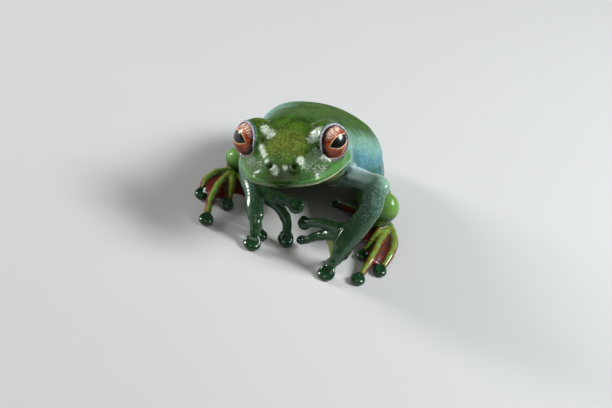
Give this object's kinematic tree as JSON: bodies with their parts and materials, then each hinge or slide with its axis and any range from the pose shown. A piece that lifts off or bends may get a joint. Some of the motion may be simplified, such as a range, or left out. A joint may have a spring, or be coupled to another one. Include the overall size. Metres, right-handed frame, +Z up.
{
  "type": "jade tree frog figure",
  "caption": "Life-size jade tree frog, a small glossy green frog with orange-red eyes, crouched on long toes with red webs.",
  "frame": {"origin": "middle of the bounding box, on the floor under the toe discs", "axes": "+Z up from the floor, -Y the way the frog faces, +X towards the frog's own left side"},
  "size_m": [0.035, 0.0468, 0.0238],
  "materials": {
    "eye_orange": "high gloss",
    "pad_green": "glossy, moist",
    "web_red": "glossy, moist",
    "skin_blue": "soft gloss, moist skin",
    "web_yellow": "glossy, moist",
    "skin_green": "soft gloss, moist skin",
    "skin_pale": "soft gloss, moist skin",
    "toe_olive": "glossy, moist"
  },
  "bodies": {
    "root": {"eye_left": "eye_orange", "eye_right": "eye_orange", "finger_left_1": "pad_green", "finger_left_2": "pad_green", "finger_left_3": "pad_green", "finger_left_4": "pad_green", "finger_right_1": "pad_green", "finger_right_2": "pad_green", "finger_right_3": "pad_green", "finger_right_4": "pad_green", "foot_web_left_12": "web_red", "foot_web_left_23": "web_red", "foot_web_left_34": "web_red", "foot_web_left_45": "web_red", "foot_web_right_12": "web_red", "foot_web_right_23": "web_red", "foot_web_right_34": "web_red", "foot_web_right_45": "web_red", "forearm_left": "skin_blue", "forearm_right": "skin_blue", "hand_web_left_34": "web_yellow", "head": "skin_green", "lower_jaw": "skin_pale", "palm_left": "skin_blue", "palm_right": "skin_blue", "shank_left": "skin_green", "shank_right": "skin_green", "sole_left": "skin_green", "sole_right": "skin_green", "tarsus_left": "skin_green", "tarsus_right": "skin_green", "thigh_left": "skin_green", "thigh_right": "skin_green", "toe_left_1": "toe_olive", "toe_left_2": "toe_olive", "toe_left_3": "toe_olive", "toe_left_4": "toe_olive", "toe_left_5": "toe_olive", "toe_right_1": "toe_olive", "toe_right_2": "toe_olive", "toe_right_3": "toe_olive", "toe_right_4": "toe_olive", "toe_right_5": "toe_olive", "torso": "skin_green", "upper_arm_left": "skin_blue", "upper_arm_right": "skin_blue"}
  },
  "joints": []
}
